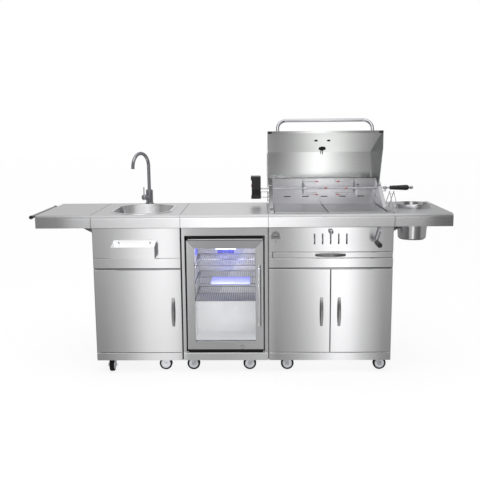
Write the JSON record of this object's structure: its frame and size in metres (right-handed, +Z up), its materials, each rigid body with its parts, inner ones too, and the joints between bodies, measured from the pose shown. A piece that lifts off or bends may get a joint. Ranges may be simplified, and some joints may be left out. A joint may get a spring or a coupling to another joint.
{
  "type": "outdoor kitchen cabinet",
  "caption": "Stainless outdoor kitchen on casters: sink, glass-door fridge and hooded charcoal grill with rotisserie, between two side shelves.",
  "frame": {"origin": "on the floor under the middle of the whole outline, with the hood open", "axes": "+X to the right seen from the front, +Y to the back, +Z up"},
  "size_m": [2.36, 0.7753, 1.4519],
  "materials": {
    "stainless": "brushed sheet",
    "worktop": "fine matt brushed sheet",
    "polished": "polished",
    "firebox_steel": "satin sheet",
    "black_plastic": "satin moulded",
    "fridge_black": "matt casing with pale liner",
    "fan_unit": "moulded cover with light",
    "door_glass": "clear double pane",
    "wire": "plated wire",
    "caster_metal": "plated pressing",
    "tyre": "black rubber on a grey hub"
  },
  "bodies": {
    "kitchen": {"sink_cabinet": "stainless", "sink_worktop": "worktop", "sink_bowl": "polished", "sink_drain": "polished", "faucet_body": "polished", "condiment_tray": "stainless", "left_shelf": "worktop", "right_shelf": "worktop", "towel_bar": "polished", "ice_bucket": "polished", "fridge_cabinet": "stainless", "fridge_worktop": "worktop", "fridge_housing": "fridge_black", "fridge_shelves": "wire", "fridge_fan_light": "fan_unit", "grill_cabinet": "stainless", "grill_worktop": "worktop", "grill_front_panel": "stainless", "bottle_opener": "polished", "firebox": "firebox_steel", "cooking_plates": "firebox_steel", "spit_brackets": "polished", "rotisserie_motor": "black_plastic", "wire_rack": "wire"},
    "sink_door": {"sink_door": "stainless"},
    "fridge_door": {"fridge_door_frame": "stainless", "fridge_door_glass": "door_glass", "fridge_door_handle": "polished"},
    "grill_door_left": {"grill_door_left": "stainless"},
    "grill_door_right": {"grill_door_right": "stainless"},
    "hood": {"hood": "stainless", "hood_handle": "polished", "thermometer": "polished"},
    "ash_drawer": {"ash_drawer": "stainless"},
    "vent_damper": {"vent_damper": "polished"},
    "charcoal_tray": {"charcoal_tray": "firebox_steel"},
    "crank": {"crank": "polished"},
    "spit": {"spit_rod": "polished", "spit_forks": "polished", "spit_grip": "black_plastic"},
    "faucet_spout": {"faucet_spout": "polished"},
    "faucet_lever": {"faucet_lever": "polished"},
    "sink_caster_fork_left": {"sink_caster_fork_left": "caster_metal"},
    "sink_caster_wheel_left": {"sink_caster_wheel_left": "tyre"},
    "sink_caster_fork_right": {"sink_caster_fork_right": "caster_metal"},
    "sink_caster_wheel_right": {"sink_caster_wheel_right": "tyre"},
    "sink_rear_wheel_left": {"sink_rear_wheel_left": "tyre"},
    "sink_rear_wheel_right": {"sink_rear_wheel_right": "tyre"},
    "fridge_caster_fork_left": {"fridge_caster_fork_left": "caster_metal"},
    "fridge_caster_wheel_left": {"fridge_caster_wheel_left": "tyre"},
    "fridge_caster_fork_right": {"fridge_caster_fork_right": "caster_metal"},
    "fridge_caster_wheel_right": {"fridge_caster_wheel_right": "tyre"},
    "fridge_rear_wheel_left": {"fridge_rear_wheel_left": "tyre"},
    "fridge_rear_wheel_right": {"fridge_rear_wheel_right": "tyre"},
    "grill_caster_fork_left": {"grill_caster_fork_left": "caster_metal"},
    "grill_caster_wheel_left": {"grill_caster_wheel_left": "tyre"},
    "grill_caster_fork_right": {"grill_caster_fork_right": "caster_metal"},
    "grill_caster_wheel_right": {"grill_caster_wheel_right": "tyre"},
    "grill_rear_wheel_left": {"grill_rear_wheel_left": "tyre"},
    "grill_rear_wheel_right": {"grill_rear_wheel_right": "tyre"}
  },
  "joints": [
    {"name": "sink_door_hinge", "type": "hinge", "parent": "kitchen", "child": "sink_door", "pos_m": [-0.82475, -0.234, 0.3695], "axis": [0, 0, -1], "range_deg": [0, 110]},
    {"name": "fridge_door_hinge", "type": "hinge", "parent": "kitchen", "child": "fridge_door", "pos_m": [-0.29375, -0.226, 0.462], "axis": [0, 0, -1], "range_deg": [0, 105]},
    {"name": "grill_door_left_hinge", "type": "hinge", "parent": "kitchen", "child": "grill_door_left", "pos_m": [0.17225, -0.234, 0.3695], "axis": [0, 0, -1], "range_deg": [0, 110]},
    {"name": "grill_door_right_hinge", "type": "hinge", "parent": "kitchen", "child": "grill_door_right", "pos_m": [0.84425, -0.234, 0.3695], "axis": [0, 0, 1], "range_deg": [0, 110]},
    {"name": "hood_hinge", "type": "hinge", "parent": "kitchen", "child": "hood", "pos_m": [0.50825, 0.177, 0.983], "axis": [1, 0, 0], "range_deg": [0, 92]},
    {"name": "ash_drawer_slide", "type": "slide", "parent": "kitchen", "child": "ash_drawer", "axis": [0, -1, 0], "range_m": [0, 0.35]},
    {"name": "vent_damper_slide", "type": "slide", "parent": "kitchen", "child": "vent_damper", "axis": [0, 0, -1], "range_m": [0, 0.032]},
    {"name": "charcoal_tray_lift", "type": "slide", "parent": "kitchen", "child": "charcoal_tray", "axis": [0, 0, 1], "range_m": [0, 0.07]},
    {"name": "crank_turn", "type": "hinge", "parent": "kitchen", "child": "crank", "pos_m": [0.77725, -0.174, 0.84], "axis": [0, 1, 0], "range_deg": [0, 267.9]},
    {"name": "spit_turn", "type": "hinge", "parent": "kitchen", "child": "spit", "pos_m": [0.50825, 0.137, 1.036], "axis": [1, 0, 0], "continuous": true},
    {"name": "faucet_spout_swivel", "type": "hinge", "parent": "kitchen", "child": "faucet_spout", "pos_m": [-0.58825, 0.31, 0.928], "axis": [0, 0, 1], "range_deg": [-70, 120]},
    {"name": "faucet_lever_turn", "type": "hinge", "parent": "kitchen", "child": "faucet_lever", "pos_m": [-0.58825, 0.31, 0.973], "axis": [-0.5878, -0.809, 0], "range_deg": [-60, 60]},
    {"name": "sink_caster_swivel_left", "type": "hinge", "parent": "kitchen", "child": "sink_caster_fork_left", "pos_m": [-0.75775, -0.167, 0.114], "axis": [0, 0, 1], "continuous": true},
    {"name": "sink_caster_roll_left", "type": "hinge", "parent": "sink_caster_fork_left", "child": "sink_caster_wheel_left", "pos_m": [-0.75775, -0.195, 0.0375], "axis": [1, 0, 0], "continuous": true},
    {"name": "sink_caster_swivel_right", "type": "hinge", "parent": "kitchen", "child": "sink_caster_fork_right", "pos_m": [-0.41875, -0.167, 0.114], "axis": [0, 0, 1], "continuous": true},
    {"name": "sink_caster_roll_right", "type": "hinge", "parent": "sink_caster_fork_right", "child": "sink_caster_wheel_right", "pos_m": [-0.44675, -0.167, 0.0375], "axis": [0, -1, 0], "continuous": true},
    {"name": "sink_rear_roll_left", "type": "hinge", "parent": "kitchen", "child": "sink_rear_wheel_left", "pos_m": [-0.75775, 0.257, 0.0375], "axis": [1, 0, 0], "continuous": true},
    {"name": "sink_rear_roll_right", "type": "hinge", "parent": "kitchen", "child": "sink_rear_wheel_right", "pos_m": [-0.41875, 0.257, 0.0375], "axis": [1, 0, 0], "continuous": true},
    {"name": "fridge_caster_swivel_left", "type": "hinge", "parent": "kitchen", "child": "fridge_caster_fork_left", "pos_m": [-0.25475, -0.167, 0.114], "axis": [0, 0, 1], "continuous": true},
    {"name": "fridge_caster_roll_left", "type": "hinge", "parent": "fridge_caster_fork_left", "child": "fridge_caster_wheel_left", "pos_m": [-0.28275, -0.167, 0.0375], "axis": [0, -1, 0], "continuous": true},
    {"name": "fridge_caster_swivel_right", "type": "hinge", "parent": "kitchen", "child": "fridge_caster_fork_right", "pos_m": [0.07525, -0.167, 0.114], "axis": [0, 0, 1], "continuous": true},
    {"name": "fridge_caster_roll_right", "type": "hinge", "parent": "fridge_caster_fork_right", "child": "fridge_caster_wheel_right", "pos_m": [0.04725, -0.167, 0.0375], "axis": [0, -1, 0], "continuous": true},
    {"name": "fridge_rear_roll_left", "type": "hinge", "parent": "kitchen", "child": "fridge_rear_wheel_left", "pos_m": [-0.25475, 0.257, 0.0375], "axis": [1, 0, 0], "continuous": true},
    {"name": "fridge_rear_roll_right", "type": "hinge", "parent": "kitchen", "child": "fridge_rear_wheel_right", "pos_m": [0.07525, 0.257, 0.0375], "axis": [1, 0, 0], "continuous": true},
    {"name": "grill_caster_swivel_left", "type": "hinge", "parent": "kitchen", "child": "grill_caster_fork_left", "pos_m": [0.23925, -0.167, 0.114], "axis": [0, 0, 1], "continuous": true},
    {"name": "grill_caster_roll_left", "type": "hinge", "parent": "grill_caster_fork_left", "child": "grill_caster_wheel_left", "pos_m": [0.26725, -0.167, 0.0375], "axis": [0, 1, 0], "continuous": true},
    {"name": "grill_caster_swivel_right", "type": "hinge", "parent": "kitchen", "child": "grill_caster_fork_right", "pos_m": [0.77725, -0.167, 0.114], "axis": [0, 0, 1], "continuous": true},
    {"name": "grill_caster_roll_right", "type": "hinge", "parent": "grill_caster_fork_right", "child": "grill_caster_wheel_right", "pos_m": [0.80525, -0.167, 0.0375], "axis": [0, 1, 0], "continuous": true},
    {"name": "grill_rear_roll_left", "type": "hinge", "parent": "kitchen", "child": "grill_rear_wheel_left", "pos_m": [0.23925, 0.257, 0.0375], "axis": [1, 0, 0], "continuous": true},
    {"name": "grill_rear_roll_right", "type": "hinge", "parent": "kitchen", "child": "grill_rear_wheel_right", "pos_m": [0.77725, 0.257, 0.0375], "axis": [1, 0, 0], "continuous": true}
  ],
  "couplings": [
    {"joint": "crank_turn", "follows": "charcoal_tray_lift", "rad_per_m": 66.667}
  ]
}
